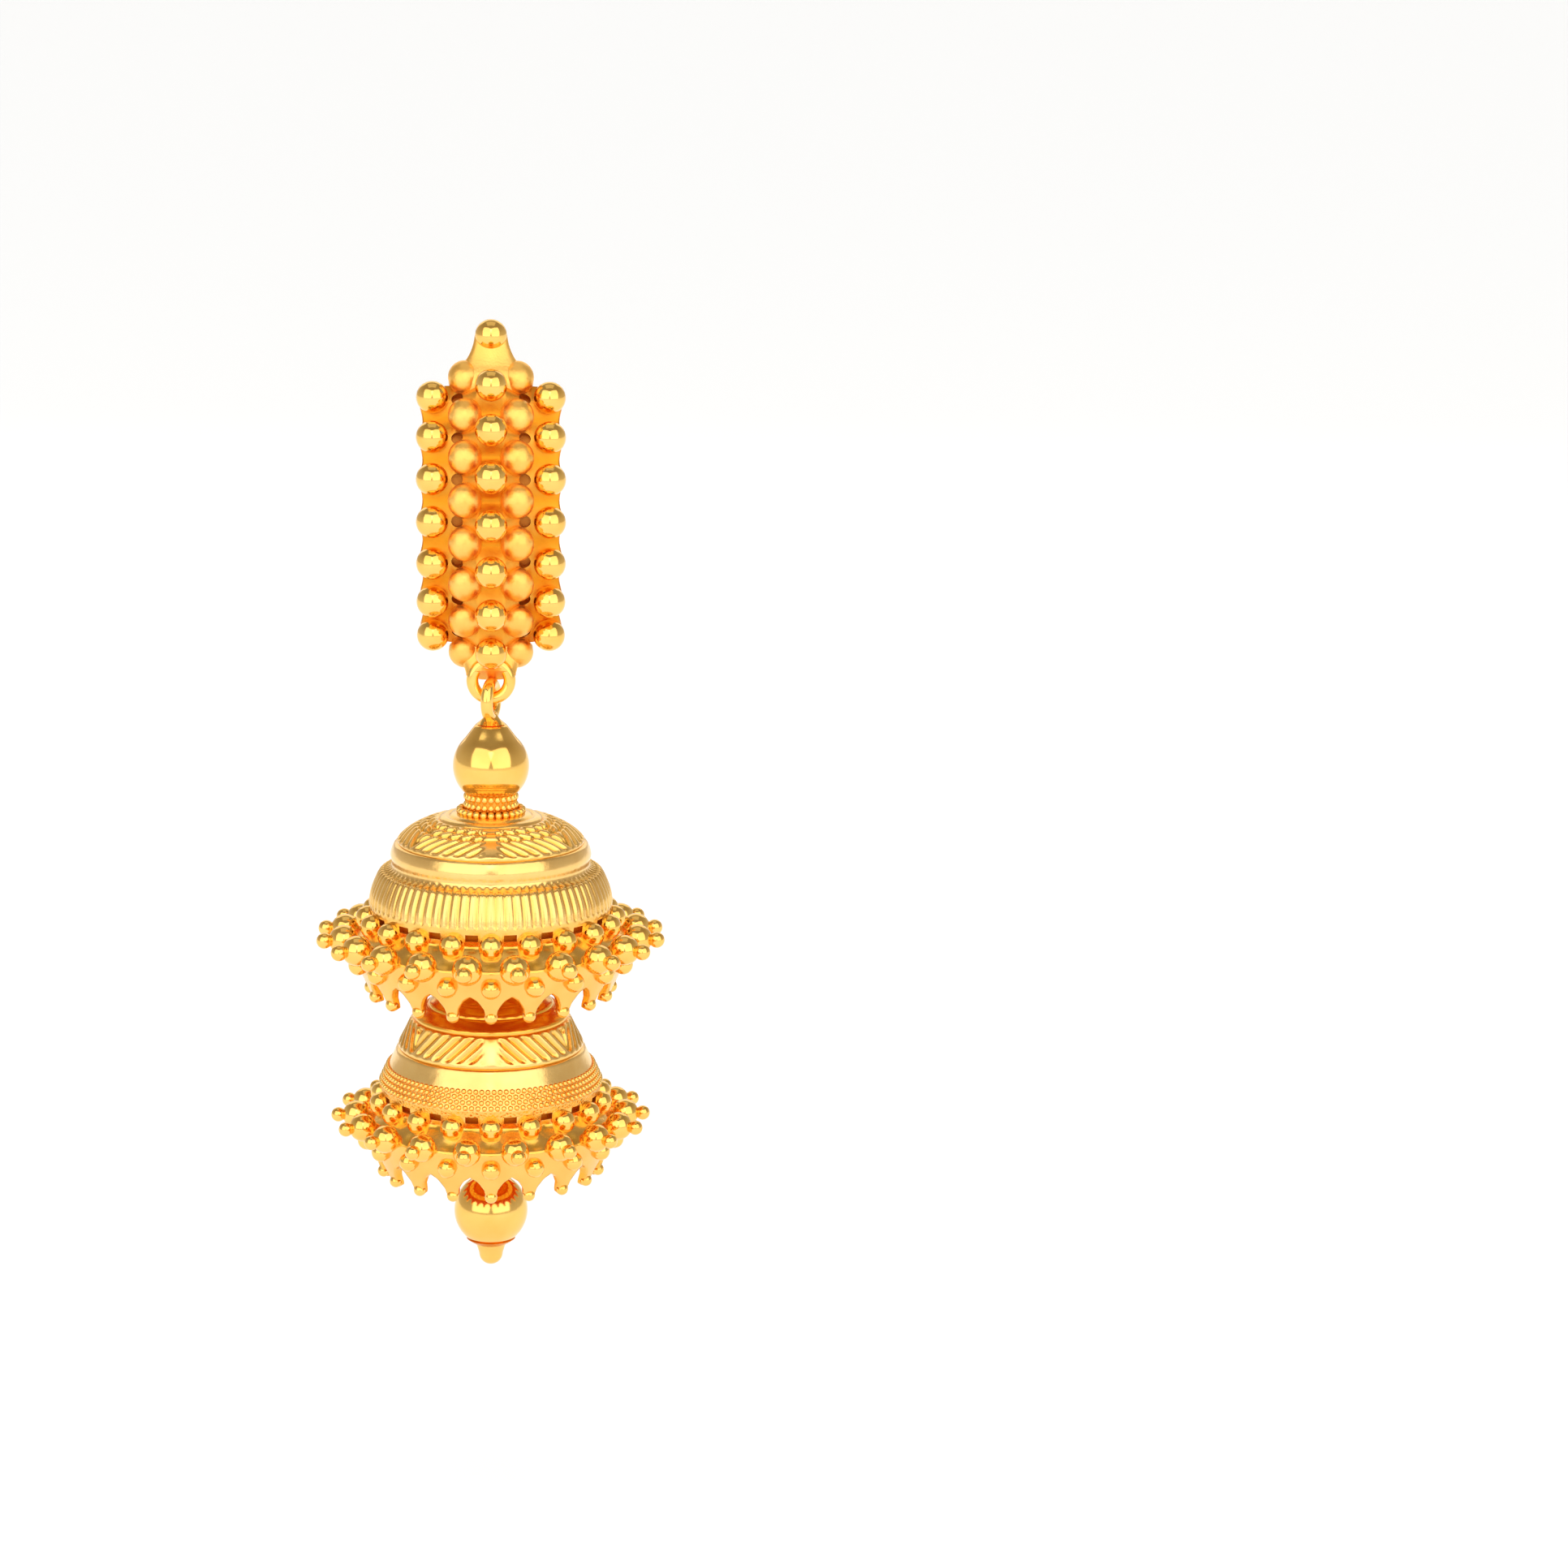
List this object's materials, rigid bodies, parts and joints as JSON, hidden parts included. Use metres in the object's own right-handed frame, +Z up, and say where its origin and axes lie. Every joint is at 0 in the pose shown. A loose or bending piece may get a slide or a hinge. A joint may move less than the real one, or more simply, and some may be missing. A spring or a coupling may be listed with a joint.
{
  "type": "drop earring",
  "caption": "Gold drop earring: a curved granulated stud with an ear post, and a swinging drop of two domed bells with beaded, scalloped skirts between polished balls.",
  "frame": {"origin": "centre of the flat seat on the back of the stud, where the ear post stands", "axes": "+Y along the post, away from the face of the earring; +Z up; the front faces -Y"},
  "size_m": [0.0188, 0.0211, 0.0521],
  "materials": {
    "polished_gold": "polished 22 carat gold",
    "engraved_gold": "bright engraved gold sheet",
    "satin_gold": "satin gold with polished granules"
  },
  "bodies": {
    "stud": {"stud_plate": "satin_gold", "ear_post": "polished_gold"},
    "drop": {"head_pin": "polished_gold", "upper_ball": "polished_gold", "collar": "satin_gold", "upper_bell": "engraved_gold", "upper_spacer": "polished_gold", "lower_bell": "engraved_gold", "lower_spacer": "polished_gold", "lower_ball": "polished_gold", "tip_bead": "polished_gold"}
  },
  "joints": [
    {"name": "drop_swing", "type": "hinge", "parent": "stud", "child": "drop", "pos_m": [0, -0.00079, -0.01428], "axis": [1, 0, 0], "range_deg": [-60, 60]}
  ]
}
